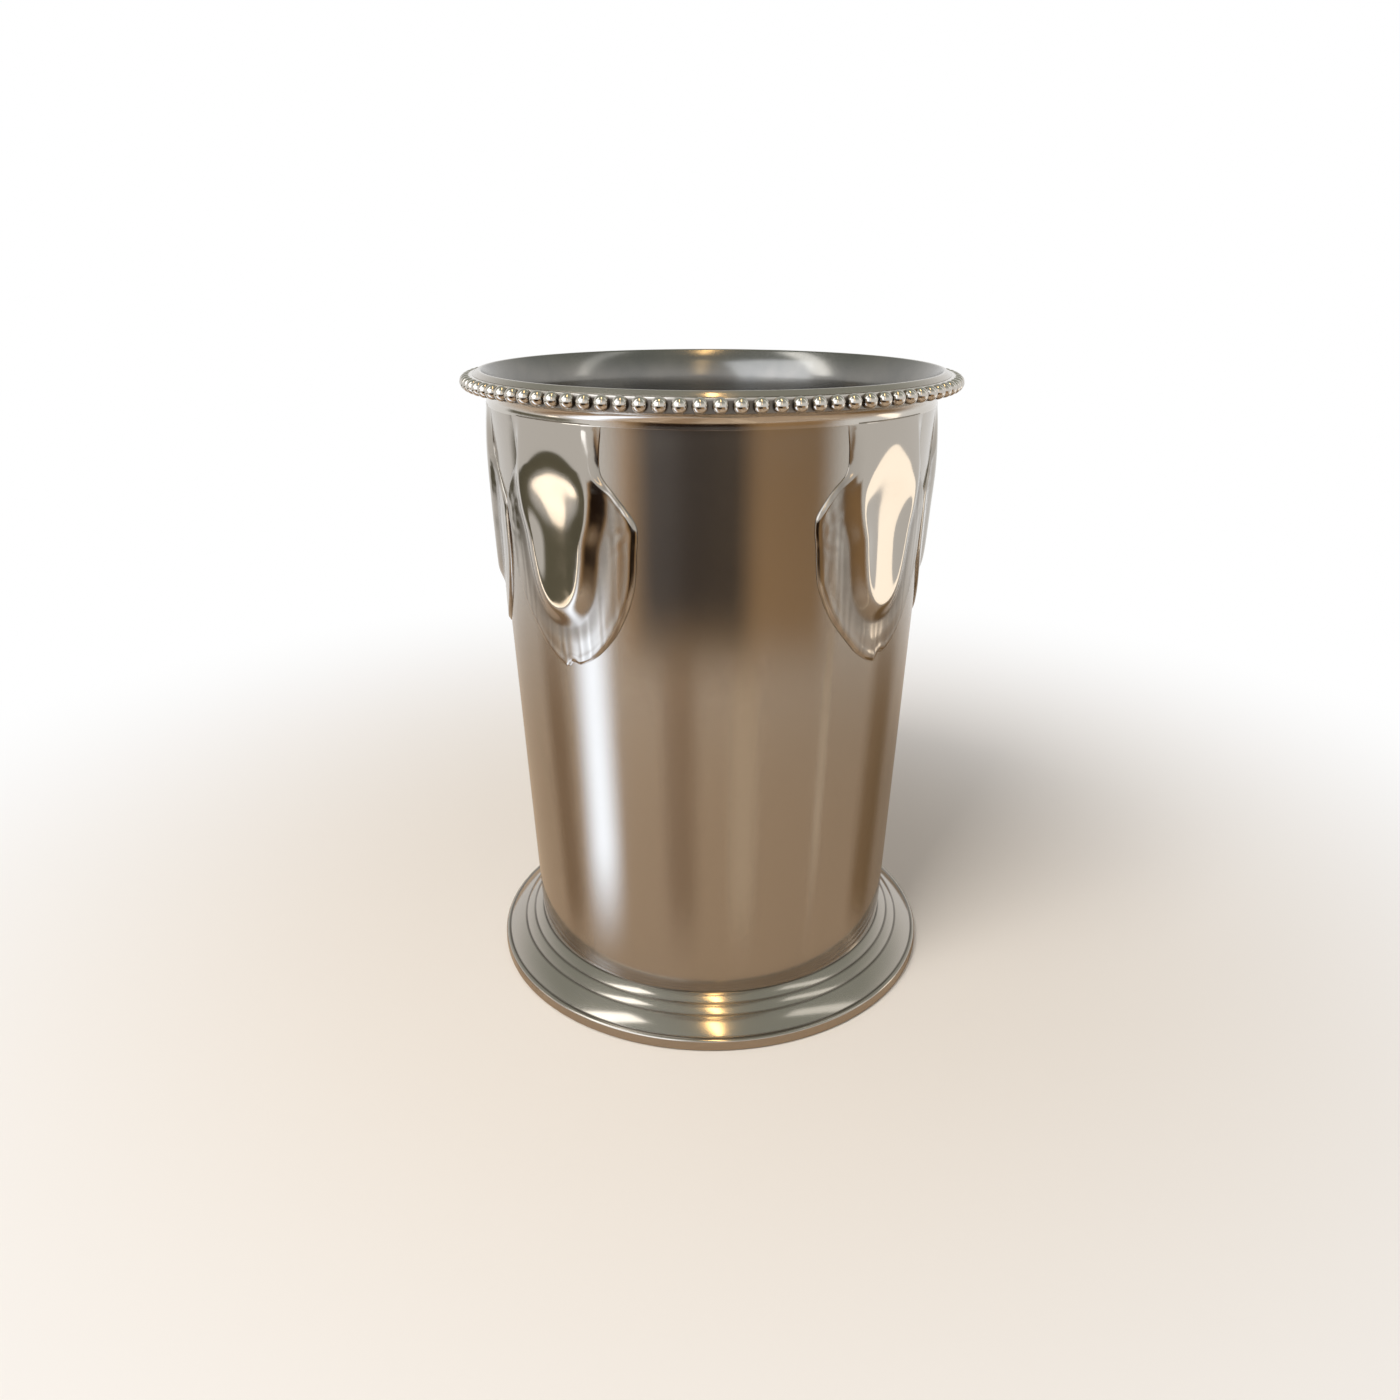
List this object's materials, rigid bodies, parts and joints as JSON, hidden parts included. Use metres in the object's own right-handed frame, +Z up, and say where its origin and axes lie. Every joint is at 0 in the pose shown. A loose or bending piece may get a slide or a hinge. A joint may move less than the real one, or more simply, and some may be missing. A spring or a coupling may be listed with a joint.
{
  "type": "pewter cup",
  "caption": "Tapered polished pewter drinking cup with a beaded rim, cast shell ornaments hanging under it and a stepped round foot, open at the top to hold a drink.",
  "frame": {"origin": "centre of the face under the foot that the cup rests on", "axes": "+Z up along the cup's axis, -Y towards the plain front panel between the two groups of shells"},
  "size_m": [0.0888, 0.0888, 0.111],
  "materials": {
    "pewter": "polished pewter, warm grey, with fine spinning lines and darker recesses"
  },
  "bodies": {
    "root": {"cup_body": "pewter", "beaded_rim": "pewter", "foot_ring": "pewter", "shell_right_front": "pewter", "shell_right": "pewter", "shell_right_back": "pewter", "shell_left_front": "pewter", "shell_left": "pewter", "shell_left_back": "pewter"}
  },
  "joints": []
}
